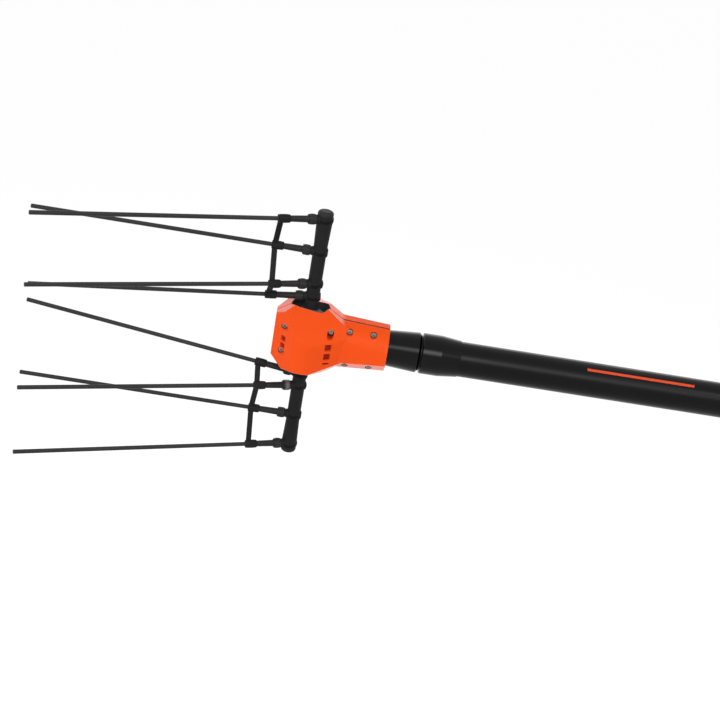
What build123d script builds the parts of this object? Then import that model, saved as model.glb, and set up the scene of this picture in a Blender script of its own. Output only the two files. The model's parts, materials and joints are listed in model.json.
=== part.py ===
from build123d import *
import os
from math import asin, cos, radians, sin, tan

# Electric olive harvester: a pole-mounted head whose two opposite arms carry long springy tines.
# Head frame while modelling: origin where the pole axis crosses the arm axis, +X along the pole
# towards the operator, +Z along the upper arm. The finished pieces are shifted along X so that the
# origin ends at the middle of the bare pole, where the tool is held. Millimetres and degrees.

# Fits
slip = 0.05              # radial gap of a piece pushed into its seat
running = 0.05           # radial gap of a shaft that turns in its bearing
side_gap = 0.3           # gap round a piece that sits in a pocket
free_gap = 0.6           # gap between moving pieces that never touch
overcut = 1.0            # how far a cutter runs past the face that it opens

# Housing outside: each half is the same moulding, the far one turned over about the pole axis.
# Plan outline of the near half, as x and distance from the joint plane
nose_x = 37.0
nose_half_width = 8.0
cheek_x = 12.5           # end of the flat front cheek
cheek_half_width = 34.5
round_x = 2.5            # middle of the rounded side
round_half_width = 38.0
flank_x = 8.5            # start of the flat rear flank
flank_half_width = 36.3
rear_x = 40.0            # where the flank reaches the side of the neck
drum_end_x = 62.0        # the drum ends inside the neck
crown_height = 38.5      # pole axis to the flat crown
# Flat facets: which way each one faces, and how far it stands from the head origin
slope_facing = (0.094, -0.723, 0.685)
slope_out = 32.5
flank_facing = (0.231, -0.853, 0.469)
flank_out = 33.8
flank_round = 12.0       # the flank facet runs softly into the upright wall
front_top_facing = (-0.547, 0.0, 0.837)
front_low_facing = (-0.547, 0.0, -0.837)
front_out = 42.15
rear_top_facing = (0.52, 0.0, 0.854)
rear_low_facing = (0.52, 0.0, -0.854)
rear_out = 42.95
belly_facing = (0.0, -0.226, -0.974)
belly_out = 39.5
heel_facing = (0.497, -0.492, -0.718)
heel_out = 44.7
edge_round = 1.2         # rounding of the outer edges
almost_one = 0.9995      # two directions this close count as the same
sharp_turn = 14.0        # edges that turn by less are left as they are
groove_width = 1.8       # joint line between the two halves
groove_depth = 1.5
notch_start_x = 30.5     # the joint opens into a notch behind the crown
notch_end_x = 35.0
notch_width = 3.0
notch_floor = 24.0

# Housing neck, near half: rounded above, with an upright side and a bevel below
neck_start_x = 34.0
neck_end_x = 92.6
neck_start_height = 26.7
neck_end_height = 23.5
neck_start_bulge = 6.4   # how far the rounding stands out from a straight slope
neck_end_bulge = 4.0
neck_shoulder = 22.6     # the rounding ends at this half width
neck_shoulder_z = 4.0
neck_side = 23.4
neck_start_low = 17.2    # lower edge of the upright side
neck_end_low = 12.5
neck_start_corner = 14.2     # half width of the flat below the bevel
neck_end_corner = 12.3

# Arm openings in the crown, each lined with a rubber boot
recess_length = 44.0
recess_width = 24.0
recess_offset = 1.25     # the opening sits towards the far side
recess_floor = 28.5      # pole axis to the floor of the boot
boot_wall = 0.8
boot_set_in = 0.4        # the boot ends a little inside the crown

# Vents: x, height, length, tall
front_vents = ((-25.2, 1.2, 7.6, 6.4), (-25.2, -7.5, 7.6, 6.4))
rear_vents = ((26.0, 1.7, 8.0, 8.0), (26.0, -9.5, 8.0, 8.0), (26.0, -18.0, 8.0, 2.6))
front_vent_depth = 5.0
rear_vent_depth = 8.0
vent_corner = 1.0

# Screws: x, height, distance of the head from the joint plane
front_screw_upper = (-25.5, 15.0, 15.9)
front_screw_lower = (-25.5, -15.0, 15.9)
rear_screw = (26.3, 17.5, 15.0)
neck_screw_upper_a = (47.5, 18.6, 14.2)
neck_screw_lower_a = (47.5, -20.6, 16.4)
neck_screw_upper_b = (74.6, 18.4, 12.4)
neck_screw_lower_b = (74.6, -19.6, 15.0)
screw_head_radius = 3.0
screw_head_height = 2.6
screw_radius = 1.75
screw_reach = 10.0       # how far a screw goes into the far half
screw_tip_gap = 0.5
screw_pocket_radius = 3.7
screw_hex = 1.5
rear_pocket_tall = 11.0

# Swing of the comb
stroke = 14.0            # swing each side of the middle
swing_rest = 10.4        # swing of the comb as shown

# Rocker shaft, its bearings and seals
bearing_bore = 12.0
bearing_outer = 28.0
bearing_width = 8.0
bearing_z = 18.0         # pole axis to the inner face of a bearing
shield_step = 0.5
seal_outer = 19.0
hub_seat_radius = 7.5
shaft_end_z = 40.0
shaft_chamfer = 1.0
key_size = 4.0
key_length = 14.0

# Rocker lever and crank
lever_hub_radius = 11.0
lever_hub_half = 10.0
lever_tip_x = 26.0
lever_wall = 2.3
slot_start_x = 21.0
slot_play = 1.7          # side play of the roller in the lever slot
pin_radius = 2.0
roller_radius = 3.0
crank_x = 29.0           # front face of the crank disc
crank_thickness = 5.0
crank_radius = 10.5
crank_chamfer = 1.0
crank_shaft_radius = 4.0
crank_shaft_length = 18.0
cavity_half_height = 13.8

# Gearbox and motor
gearbox_x = 36.0
gearbox_length = 22.0
motor_radius = 16.0
motor_length = 60.0
motor_gap = 0.2
motor_band = 5.0
motor_step = 1.2
lead_radius = 2.5

# Collar between housing and pole
collar_front_radius = 20.5
collar_rear_radius = 23.0
collar_length = 37.4
collar_chamfer = 2.6
collar_spigot_radius = 19.0
collar_spigot_length = 13.0
tail_length = 30.0
tail_chamfer = 1.0

# Pole, ferrule and handle
pole_diameter = 40.0
pole_wall = 1.5
pole_step = 0.1          # the covered ends are drawn down a little
bare_length = 944.6      # stretch of the pole left bare between ferrule and grip
ferrule_gap = 1.4
ferrule_radius = 23.3
ferrule_straight = 22.0
ferrule_taper = 22.0
ferrule_lip = 0.8
ferrule_chamfer = 1.2
grip_length = 210.0
grip_radius = 23.5
grip_groove_depth = 1.3
grip_groove_count = 12
switch_gap = 5.0         # bare pole each side of the switch housing
switch_length = 110.0
switch_radius = 27.0
switch_end_radius = 22.5
switch_taper = 16.0
pad_length = 76.0
pad_width = 33.0
pad_corner = 11.0
pad_top = 38.0
pad_wall = 2.5
button_radius = 9.0
button_flange = 1.6
button_flange_thick = 2.0
button_proud = 3.6
button_travel = 3.0
button_stem_radius = 2.5
spring_radius = 4.6
spring_wire = 0.45
spring_turns = 3.5
spring_gap = 0.02
block_length = 16.0
block_width = 12.0
block_height = 4.6
pocket_floor_wall = 1.6
cap_flange_radius = 22.0
cap_flange_thick = 10.0
cap_plug_length = 25.0
cap_floor = 3.0
cap_chamfer = 3.0
cap_lead = 1.0
inlet_bore_radius = 4.75
inlet_bore_depth = 18.0
inlet_radius = 8.0
inlet_flange_radius = 11.0
inlet_flange_thick = 2.5

# Arms
arm_radius = 7.75
arm_end_radius = 8.9
arm_swell_start = 108.0  # the bar swells slowly towards its end
arm_swell_end = 138.0
arm_cap_z = 146.5
arm_cap_thick = 5.0
arm_cap_round = 3.6
arm_cap_step_radius = 6.0   # shallow step that centres the cap
arm_cap_step = 0.7
boss_root_radius = 6.9   # cone that carries a tine, at the arm axis
boss_tip_radius = 4.8
boss_front = 10.2
bump_radius = 5.6        # low bump behind each tine
bump_tip_radius = 3.6
bump_reach = 9.1
bump_round = 1.2
foot_length = 16.8       # half length of the foot along the pole
foot_width = 8.2         # half width of the foot
foot_middle_z = 32.5
foot_middle_length = 11.5
foot_top_z = 41.0
foot_top_radius = 7.4    # the foot runs out inside the bar
cross_pin_radius = 1.5
cross_pin_z = 34.5

# Tines, counted from the arm's outer end
tine_heights = (141.4, 102.9, 64.2, 48.8)
tine_tilts = (0.0, 0.0, 0.6, 7.0)      # towards the pole axis
tine_splay = 10.4                      # alternate tines lean to either side
tine_radius = 2.4
tine_reach = 319.0
tine_seat = 1.0
socket_seat = 0.5
socket_radius = 4.0
sleeve_root_radius = 3.85
sleeve_end_radius = 3.45
sleeve_end = 40.0
socket_end = 53.0
nut_length = 9.0
nut_radius = 5.9
nut_chamfer = 1.4
clip_start = 40.6
clip_radius = 4.5
web_width = 6.0
web_thick = 2.4

# Derived places
collar_end = neck_end_x + collar_length
pole_radius = pole_diameter / 2
pole_seat = pole_radius - pole_step
pole_bore = pole_radius - pole_wall
ferrule_start = collar_end + ferrule_gap
ferrule_end = ferrule_start + ferrule_straight + ferrule_taper
grip_start = ferrule_end + bare_length
hold_x = (ferrule_end + grip_start) / 2
motor_start = gearbox_x + gearbox_length
motor_end = motor_start + motor_length
motor_bore = motor_radius + motor_gap
spigot_start = neck_end_x - collar_spigot_length
switch_start = grip_start + grip_length + switch_gap
switch_end = switch_start + switch_length
pole_end = switch_end + switch_gap
pad_x = (switch_start + switch_end) / 2
sleeve_bore = pole_seat + slip
pocket_floor = sleeve_bore + pocket_floor_wall
block_top = pocket_floor + block_height
button_flange_top = pad_top - pad_wall - side_gap
button_flange_low = button_flange_top - button_flange_thick
journal_radius = bearing_bore / 2 - running
bearing_end = bearing_z + bearing_width
arm_root_z = recess_floor + free_gap
pin_x = (slot_start_x + lever_tip_x) / 2
pin_throw = pin_x * tan(radians(stroke))
slot_half = roller_radius + slot_play
slot_half_height = pin_throw + roller_radius + free_gap
lever_half = slot_half + lever_wall
lever_half_height = slot_half_height + lever_wall
pin_lean = asin(tan(radians(swing_rest)) / tan(radians(stroke)))
pin_y = pin_throw * sin(pin_lean)
pin_z = pin_throw * cos(pin_lean)
BOTH = (-1, 1)


def turned_x(points):
    """A piece turned about the pole axis, from (x, radius) points."""
    return revolve(make_face(Plane.XZ * Polyline(*points, close=True)), Axis.X, 360)


def turned_z(points):
    """A piece turned about the arm axis, from (radius, z) points."""
    return revolve(make_face(Plane.XZ * Polyline(*points, close=True)), Axis.Z, 360)


def rod(start, direction, radius, length):
    """A round bar of a given length from a start point along a direction."""
    seat = Plane(origin=start, z_dir=direction)
    return seat * Cylinder(radius, length, align=(Align.CENTER, Align.CENTER, Align.MIN))


def slab(low, high):
    """A block between two opposite corners."""
    size = [b - a for a, b in zip(low, high)]
    middle = [(a + b) / 2 for a, b in zip(low, high)]
    return Pos(*middle) * Box(*size)


def flip(shape):
    """The same piece below the pole axis."""
    return mirror(shape, Plane.XY)


# Housing
def behind(body, facing, distance):
    """Keep the part of a body that lies behind a flat facet."""
    normal = Vector(*facing).normalized()
    return split(body, bisect_by=Plane(origin=normal * distance, z_dir=normal), keep=Keep.BOTTOM)


def flank_run():
    """How much the rear flank narrows for each millimetre along the pole."""
    return (flank_half_width - neck_side) / (rear_x - flank_x)


def half_drum(inset):
    """Drum of the near half: an upright prism on the plan outline, trimmed by the facets."""
    front = (inset - nose_x, inset - nose_half_width)
    cheek = (-cheek_x, inset - cheek_half_width)
    side = (-round_x, inset - round_half_width)
    flank = (flank_x, inset - flank_half_width)
    end = (drum_end_x, inset - neck_side + flank_run() * (drum_end_x - rear_x))
    plan = [
        Line((front[0], 0), front), Line(front, cheek), ThreePointArc(cheek, side, flank),
        Polyline(flank, end, (drum_end_x, 0), (front[0], 0))]
    body = extrude(make_face(plan), crown_height - inset, both=True)
    for facing, out in (
            (slope_facing, slope_out), (flank_facing, flank_out), (front_top_facing, front_out),
            (front_low_facing, front_out), (rear_top_facing, rear_out), (rear_low_facing, rear_out),
            (belly_facing, belly_out), (heel_facing, heel_out)):
        body = behind(body, facing, out - inset)
    return body


def neck_ring(x, height, bulge, low, corner, inset):
    """Half section of the neck square to the pole axis: rounded above, bevelled below."""
    top = height - inset
    side = inset - neck_side
    foot = inset - corner
    crest = Vector(0, top)
    shoulder = Vector(inset - neck_shoulder, neck_shoulder_z)
    slope = (shoulder - crest).normalized()
    crown = (crest + shoulder) / 2 + Vector(slope.Y, -slope.X) * bulge
    outline = [
        Line((0, -top), crest), ThreePointArc(crest, crown, shoulder),
        Polyline(shoulder, (side, -low), (foot, -top), (0, -top))]
    return Pos(x, 0, 0) * make_face([Plane.YZ * run for run in outline])


def half_outside(inset):
    """Outside of the near half with its neck."""
    start = neck_ring(neck_start_x, neck_start_height, neck_start_bulge, neck_start_low, neck_start_corner,
                      inset)
    end = neck_ring(neck_end_x, neck_end_height, neck_end_bulge, neck_end_low, neck_end_corner, inset)
    return half_drum(inset) + loft([start, end], ruled=True)


def softened(body):
    """The near half with every sharp outer edge rounded, except along the joint and at the collar."""
    facing = Vector(*flank_facing).normalized()
    facet = next(face for face in body.faces() if face.normal_at().dot(facing) > almost_one)
    body = fillet([edge for edge in facet.edges() if edge.center().Z < facet.center().Z], flank_round)
    picked = []
    for edge in body.edges():
        place = edge.center()
        beside = [face for face in body.faces() if any(side.is_same(edge) for side in face.edges())]
        turn = beside[0].normal_at(place).get_angle(beside[1].normal_at(place))
        inside = abs(place.Y) > edge_round / 4 and neck_end_x - place.X > edge_round / 4
        if inside and turn > sharp_turn and not edge.is_interior:
            picked.append(edge)
    return fillet(picked, edge_round)


def vents():
    """Blind vents square to the front cheek and to the rear flank of the near half."""
    cheek = Vector(nose_half_width - cheek_half_width, cheek_x - nose_x, 0).normalized()
    flank = Vector(flank_half_width - neck_side, flank_x - rear_x, 0).normalized()
    cheek_run = (cheek_half_width - nose_half_width) / (nose_x - cheek_x)
    cutters = []
    for x, z, length, tall in front_vents:
        place = Vector(x, -nose_half_width - cheek_run * (nose_x + x), z)
        mouth = Plane(origin=place - cheek * front_vent_depth, x_dir=(0, 0, 1), z_dir=cheek)
        cutters.append(extrude(mouth * RectangleRounded(tall, length, vent_corner), 2 * front_vent_depth))
    for x, z, length, tall in rear_vents:
        place = Vector(x, -neck_side - flank_run() * (rear_x - x), z)
        mouth = Plane(origin=place - flank * rear_vent_depth, x_dir=(0, 0, 1), z_dir=flank)
        cutters.append(extrude(mouth * RectangleRounded(tall, length, vent_corner), 2 * rear_vent_depth))
    return cutters


def half_blank():
    """Near half with its vents and half of the joint groove, before the inside is cut."""
    body = softened(half_outside(0))
    strip = slab((-nose_x - overcut, -groove_width / 2, -crown_height),
                 (neck_end_x + overcut, 0, crown_height))
    body -= strip - half_outside(groove_depth)
    body -= slab((notch_start_x, -notch_width / 2, notch_floor), (notch_end_x, 0, crown_height))
    return body - vents()


def screw_places():
    """Each screw as x, z, distance of its head from the joint plane."""
    return (front_screw_upper, front_screw_lower, rear_screw, neck_screw_upper_a, neck_screw_lower_a,
            neck_screw_upper_b, neck_screw_lower_b)


def opening_room(inset, floor):
    """Long room of an arm opening, drawn in by inset, from a floor up."""
    mouth = SlotOverall(recess_length - 2 * inset, recess_width - 2 * inset)
    return extrude(Pos(0, recess_offset, floor) * mouth, crown_height)


def arm_opening():
    """Opening in the crown round an arm, with the seats of its seal and bearing below."""
    opening = opening_room(0, recess_floor - boot_wall)
    throat = hub_seat_radius + 2 * free_gap
    seat = bearing_outer / 2 + slip
    seal = seal_outer / 2 + slip
    return opening + turned_z([
        (0, 0), (throat, 0), (throat, bearing_z), (seat, bearing_z), (seat, bearing_end),
        (seal, bearing_end), (seal, recess_floor), (0, recess_floor)])


def turned_over(shape):
    """The same piece turned over about the pole axis."""
    return Rot(180, 0, 0) * shape


def housing_inside():
    """Room for the rocker lever, the crank, the gearbox and the motor."""
    turn = radians(stroke)
    room_half = lever_tip_x * sin(turn) + lever_half * cos(turn) + free_gap
    hub_room = lever_hub_radius + free_gap
    disc_end = crank_x + crank_thickness
    room = slab((0, -room_half, -cavity_half_height), (disc_end, room_half, cavity_half_height))
    room += rod((0, 0, -cavity_half_height), (0, 0, 1), hub_room, 2 * cavity_half_height)
    return room + turned_x([
        (lever_tip_x, 0), (lever_tip_x, crank_radius + free_gap), (gearbox_x, crank_radius + free_gap),
        (gearbox_x, motor_bore), (spigot_start, motor_bore), (spigot_start, collar_spigot_radius + slip),
        (neck_end_x + overcut, collar_spigot_radius + slip), (neck_end_x + overcut, 0)])


def screw_pockets():
    """Pockets for the screw heads, open to the near side, and the holes behind them."""
    cutters = []
    for x, z, head in screw_places():
        seat = screw_head_height - head
        outward = Plane(origin=(x, seat, z), x_dir=(0, 0, 1), z_dir=(0, -1, 0))
        if x == rear_screw[0]:
            drop = rear_pocket_tall / 2 - screw_pocket_radius
            shape = Pos(-drop, 0) * SlotOverall(rear_pocket_tall, 2 * screw_pocket_radius)
        else:
            shape = Circle(screw_pocket_radius)
        cutters.append(extrude(outward * shape, round_half_width))
        hole = overcut + screw_reach - seat
        cutters.append(rod((x, seat - overcut, z), (0, 1, 0), screw_radius + slip, hole))
    return cutters


def housing_halves():
    blank = half_blank()
    inside = [housing_inside(), arm_opening(), turned_over(arm_opening())] + screw_pockets()
    return blank - inside, turned_over(blank) - inside


def boot():
    """Rubber lining of an arm opening, open round the shaft seal and trimmed to the crown."""
    low = recess_floor - boot_wall + slip
    body = opening_room(slip, low) - opening_room(slip + boot_wall, recess_floor)
    body -= rod((0, 0, low), (0, 0, 1), seal_outer / 2 + slip, crown_height)
    near = half_outside(boot_set_in)
    return body & (near + turned_over(near))


def housing_screws():
    """Socket-head screws that draw the two halves together."""
    screws = []
    for x, z, head in screw_places():
        screw = rod((x, -head, z), (0, 1, 0), screw_head_radius, screw_head_height)
        screw += rod((x, -head, z), (0, 1, 0), screw_radius, head + screw_reach - screw_tip_gap)
        socket = Plane(origin=(x, -head, z), z_dir=(0, 1, 0)) * RegularPolygon(screw_hex, 6)
        screws.append(screw - extrude(socket, screw_head_height * 0.6))
    return Compound(children=screws)


# Rocker: shaft, bearings, seals, lever
def rocker_shaft():
    inner = bearing_z - side_gap
    end = journal_radius - shaft_chamfer
    shaft = turned_z([
        (0, 0), (hub_seat_radius, 0), (hub_seat_radius, inner), (journal_radius, inner),
        (journal_radius, shaft_end_z - shaft_chamfer), (end, shaft_end_z), (0, shaft_end_z)])
    shaft += flip(shaft)
    seat = hub_seat_radius - key_size / 2
    shaft -= slab((seat, -key_size / 2, -key_length / 2), (seat + key_size, key_size / 2, key_length / 2))
    for level in BOTH:
        start = (0, -arm_radius, level * cross_pin_z)
        shaft -= rod(start, (0, 1, 0), cross_pin_radius + slip, 2 * arm_radius)
    return shaft


def rocker_key():
    seat = hub_seat_radius - key_size / 2
    width = key_size / 2 - slip
    half = key_length / 2 - slip
    return slab((seat, -width, -half), (seat + key_size - slip, width, half))


def rocker_lever():
    """Keyed hub with a slotted tongue that the crank roller moves from side to side."""
    hub = rod((0, 0, -lever_hub_half), (0, 0, 1), lever_hub_radius, 2 * lever_hub_half)
    tall = lever_half_height
    flare_x = slot_start_x - lever_wall
    outline = Polyline((0, -lever_hub_half), (flare_x, -tall), (lever_tip_x, -tall), (lever_tip_x, tall),
                       (flare_x, tall), (0, lever_hub_half), close=True)
    lever = hub + extrude(make_face(Plane.XZ * outline), lever_half, both=True)
    lever -= slab((slot_start_x, -slot_half, -slot_half_height),
                  (lever_tip_x + 1, slot_half, slot_half_height))
    lever -= rod((0, 0, -tall), (0, 0, 1), hub_seat_radius + slip, 2 * tall)
    key_end = hub_seat_radius + key_size / 2
    return lever - slab((0, -key_size / 2, -tall), (key_end, key_size / 2, tall))


def bearing():
    """Sealed ball bearing with its shields set in from the ring faces."""
    inner = bearing_bore / 2
    outer = bearing_outer / 2
    race = (outer - inner) / 4
    low = bearing_z + shield_step
    high = bearing_end - shield_step
    return turned_z([
        (inner, bearing_z), (inner + race, bearing_z), (inner + race, low), (outer - race, low),
        (outer - race, bearing_z), (outer, bearing_z), (outer, bearing_end), (outer - race, bearing_end),
        (outer - race, high), (inner + race, high), (inner + race, bearing_end), (inner, bearing_end)])


def shaft_seal():
    """Rubber ring that closes the hole round the shaft above the bearing."""
    bore = journal_radius + side_gap
    rim = seal_outer / 2
    return turned_z([(bore, bearing_end), (rim, bearing_end), (rim, recess_floor), (bore, recess_floor)])


# Crank, gearbox and motor
def crank():
    """Crank disc with its shaft and its pin."""
    disc_end = crank_x + crank_thickness
    wheel = turned_x([
        (crank_x, 0), (crank_x, crank_radius - crank_chamfer), (crank_x + crank_chamfer, crank_radius),
        (disc_end, crank_radius), (disc_end, crank_shaft_radius),
        (disc_end + crank_shaft_length, crank_shaft_radius), (disc_end + crank_shaft_length, 0)])
    tip = slot_start_x + free_gap
    return wheel + rod((tip, pin_y, pin_z), (1, 0, 0), pin_radius, crank_x - tip)


def crank_roller():
    """Roller on the crank pin."""
    tip = slot_start_x + free_gap
    length = crank_x - tip - free_gap
    roller = rod((tip, pin_y, pin_z), (1, 0, 0), roller_radius, length)
    return roller - rod((tip, pin_y, pin_z), (1, 0, 0), pin_radius + slip, length)


def gearbox():
    bore = crank_shaft_radius + running
    depth = crank_x + crank_thickness + crank_shaft_length + free_gap
    return turned_x([
        (gearbox_x, bore), (gearbox_x, motor_radius), (motor_start, motor_radius), (motor_start, 0),
        (depth, 0), (depth, bore)])


def motor():
    waist = motor_radius - motor_step
    return turned_x([
        (motor_start, 0), (motor_start, motor_radius), (motor_start + motor_band, motor_radius),
        (motor_start + motor_band, waist), (motor_end - motor_band, waist),
        (motor_end - motor_band, motor_radius), (motor_end, motor_radius), (motor_end, 0)])


def motor_lead():
    lead_end = pole_end - cap_plug_length
    return rod((motor_end, 0, 0), (1, 0, 0), lead_radius, lead_end - motor_end)


# Pole line
def collar():
    """Tapered collar: its spigot fills the neck, its tail fills the pole."""
    tail = pole_bore - slip
    tail_end = collar_end + tail_length
    lead = lead_radius + side_gap
    spigot = collar_spigot_radius
    return turned_x([
        (spigot_start, motor_bore), (spigot_start, spigot), (neck_end_x, spigot),
        (neck_end_x, collar_front_radius), (collar_end - collar_chamfer, collar_rear_radius),
        (collar_end, collar_rear_radius - collar_chamfer), (collar_end, tail),
        (tail_end - tail_chamfer, tail), (tail_end, tail - tail_chamfer), (tail_end, lead),
        (motor_end, lead), (motor_end, motor_bore)])


def ferrule():
    """Sleeve round the end of the pole that tapers down to it."""
    return turned_x([
        (ferrule_start, sleeve_bore), (ferrule_start, ferrule_radius - ferrule_chamfer),
        (ferrule_start + ferrule_chamfer, ferrule_radius),
        (ferrule_start + ferrule_straight, ferrule_radius),
        (ferrule_end, pole_radius + ferrule_lip), (ferrule_end, sleeve_bore)])


def pole():
    """Pole tube, full size where it is bare and drawn down a little under its fittings."""
    return turned_x([
        (collar_end, pole_bore), (collar_end, pole_seat), (ferrule_end, pole_seat),
        (ferrule_end, pole_radius), (grip_start, pole_radius), (grip_start, pole_seat),
        (pole_end, pole_seat), (pole_end, pole_bore)])


def grip():
    """Rubber sleeve with shallow finger grooves."""
    pitch = grip_length / (grip_groove_count + 1)
    low = grip_radius - grip_groove_depth
    outline = [(grip_start, sleeve_bore), (grip_start, grip_radius)]
    for n in range(grip_groove_count):
        x = grip_start + (n + 1) * pitch
        outline += [(x - pitch * 0.3, grip_radius), (x - pitch * 0.12, low), (x + pitch * 0.12, low),
                    (x + pitch * 0.3, grip_radius)]
    end = grip_start + grip_length
    return turned_x(outline + [(end, grip_radius), (end, sleeve_bore)])


def switch_housing():
    """Control sleeve on the pole with a raised pad for the push button."""
    body = turned_x([
        (switch_start, 0), (switch_start, switch_end_radius), (switch_start + switch_taper, switch_radius),
        (switch_end - switch_taper, switch_radius), (switch_end, switch_end_radius), (switch_end, 0)])
    pad = extrude(Pos(pad_x, 0, 0) * RectangleRounded(pad_length, pad_width, pad_corner), pad_top)
    body += fillet(pad.faces().sort_by(Axis.Z)[-1].edges(), pad_wall)
    body -= rod((switch_start - overcut, 0, 0), (1, 0, 0), sleeve_bore, switch_length + 2 * overcut)
    pocket = button_radius + button_flange + side_gap
    body -= rod((pad_x, 0, pocket_floor), (0, 0, 1), pocket, pad_top - pad_wall - pocket_floor)
    return body - rod((pad_x, 0, pocket_floor), (0, 0, 1), button_radius + side_gap, pad_top)


def switch_block():
    return slab((pad_x - block_length / 2, -block_width / 2, pocket_floor),
                (pad_x + block_length / 2, block_width / 2, block_top))


def switch_button():
    """Push button held by its flange under the pad, with a stem that meets the switch."""
    top = pad_top + button_proud
    edge = 1.5
    stem_low = block_top + button_travel + side_gap
    flange = button_radius + button_flange
    button = turned_z([
        (0, stem_low), (button_stem_radius, stem_low), (button_stem_radius, button_flange_low),
        (flange, button_flange_low), (flange, button_flange_top), (button_radius, button_flange_top),
        (button_radius, top - edge), (button_radius - edge, top), (0, top)])
    return Pos(pad_x, 0, 0) * button


def switch_spring():
    """Coil spring between the switch and the flange of the button."""
    low = block_top + spring_gap + spring_wire
    height = button_flange_low - spring_gap - spring_wire - low
    path = Pos(pad_x, 0, low) * Helix(height / spring_turns, height, spring_radius)
    return sweep(Plane(origin=path @ 0, z_dir=path % 0) * Circle(spring_wire), path, is_frenet=True)


def rear_cap():
    """Plug in the end of the pole with a flange and a seat for the power inlet."""
    plug = pole_bore - slip
    start = pole_end - cap_plug_length
    end = pole_end + cap_flange_thick
    seat = inlet_radius + slip
    return turned_x([
        (start, 0), (start, plug - cap_lead), (start + cap_lead, plug), (pole_end, plug),
        (pole_end, cap_flange_radius), (end - cap_chamfer, cap_flange_radius),
        (end, cap_flange_radius - cap_chamfer), (end, seat), (start + cap_floor, seat),
        (start + cap_floor, 0)])


def power_inlet():
    """Low-voltage inlet: a flanged barrel with a plain round socket."""
    start = pole_end - cap_plug_length + cap_floor
    flange = pole_end + cap_flange_thick
    mouth = flange + inlet_flange_thick
    return turned_x([
        (start, 0), (start, inlet_radius), (flange, inlet_radius), (flange, inlet_flange_radius),
        (mouth - 0.8, inlet_flange_radius), (mouth, inlet_flange_radius - 0.8), (mouth, inlet_bore_radius),
        (mouth - inlet_bore_depth, inlet_bore_radius), (mouth - inlet_bore_depth, 0)])


# Comb, modelled in the middle of its swing
def tine_line(number):
    """Start on the arm axis and direction of one of the upper tines."""
    lean = radians(tine_splay if number % 2 == 0 else -tine_splay)
    tilt = radians(tine_tilts[number])
    direction = Vector(-cos(lean) * cos(tilt), -sin(lean) * cos(tilt), -sin(tilt))
    return Vector(0, 0, tine_heights[number]), direction


def along(number, distance):
    start, direction = tine_line(number)
    return start + direction * distance


def tine_turned(number, points):
    """A piece turned about one tine, from (distance from the arm axis, radius) points."""
    start, direction = tine_line(number)
    blank = revolve(make_face(Plane.XZ * Polyline(*[(r, d) for d, r in points], close=True)), Axis.Z, 360)
    return Plane(origin=start, z_dir=direction) * blank


def arm():
    """Moulded arm: a flared foot, a round bar that swells to its end, a cone and a bump for every tine."""
    foot = loft([
        Pos(0, 0, arm_root_z) * Ellipse(foot_length, foot_width),
        Pos(0, 0, foot_middle_z) * Ellipse(foot_middle_length, foot_width),
        Pos(0, 0, foot_top_z) * Circle(foot_top_radius)])
    body = foot + turned_z([
        (0, cross_pin_z), (arm_radius, cross_pin_z), (arm_radius, arm_swell_start),
        (arm_end_radius, arm_swell_end), (arm_end_radius, arm_cap_z), (0, arm_cap_z)])
    for number in range(len(tine_heights)):
        body += tine_turned(number, [
            (-bump_reach, 0), (-bump_reach, bump_tip_radius), (bump_round - bump_reach, bump_radius),
            (0, boss_root_radius), (boss_front, boss_tip_radius), (boss_front, 0)])
    body = split(body, bisect_by=Plane(origin=(0, 0, arm_cap_z)), keep=Keep.BOTTOM)
    for number in range(len(tine_heights)):
        body -= rod(along(number, 0), tine_line(number)[1], socket_radius + slip, boss_front + 1)
    body -= rod((0, 0, 0), (0, 0, 1), journal_radius + slip, shaft_end_z + side_gap)
    body -= rod((0, -foot_length, cross_pin_z), (0, 1, 0), cross_pin_radius + slip, 2 * foot_length)
    step_seat = arm_cap_step + slip
    return body - rod((0, 0, arm_cap_z - step_seat), (0, 0, 1), arm_cap_step_radius + slip, step_seat)


def arm_cap():
    """Rounded end cap with a shallow step that centres it."""
    cap = rod((0, 0, arm_cap_z), (0, 0, 1), arm_end_radius, arm_cap_thick)
    cap = fillet(cap.faces().sort_by(Axis.Z)[-1].edges(), arm_cap_round)
    return cap + rod((0, 0, arm_cap_z - arm_cap_step), (0, 0, 1), arm_cap_step_radius, arm_cap_step)


def cross_pins():
    """Pins that lock the two arms on the rocker shaft."""
    length = 2 * foot_width - side_gap
    pins = [rod((0, -length / 2, side * cross_pin_z), (0, 1, 0), cross_pin_radius, length) for side in BOTH]
    return Compound(children=pins)


def tine(number):
    tip = 0.5
    return tine_turned(number, [
        (tine_seat, 0), (tine_seat, tine_radius), (tine_reach - tip, tine_radius),
        (tine_reach, tine_radius - tip), (tine_reach, 0)])


def tine_socket(number):
    """Rubber sleeve that holds a tine in the arm and tapers outwards along it."""
    bore = tine_radius + slip
    nut_end = boss_front + nut_length
    return tine_turned(number, [
        (socket_seat, bore), (socket_seat, socket_radius), (nut_end, socket_radius),
        (nut_end + 0.5, sleeve_root_radius), (sleeve_end, sleeve_end_radius),
        (socket_end, sleeve_end_radius - 0.15), (socket_end, bore)])


def tine_nut(number):
    """Six-sided collar that draws a socket against its boss."""
    start, direction = tine_line(number)
    seat = Plane(origin=start + direction * boss_front, z_dir=direction)
    nut = seat * extrude(RegularPolygon(nut_radius, 6), nut_length)
    end = boss_front + nut_length
    nut &= tine_turned(number, [
        (boss_front, 0), (boss_front, nut_radius - nut_chamfer / 2), (boss_front + nut_chamfer, nut_radius),
        (end - nut_chamfer, nut_radius), (end, nut_radius - nut_chamfer), (end, 0)])
    return nut - rod(start, direction, socket_radius + slip, end + 1)


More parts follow.
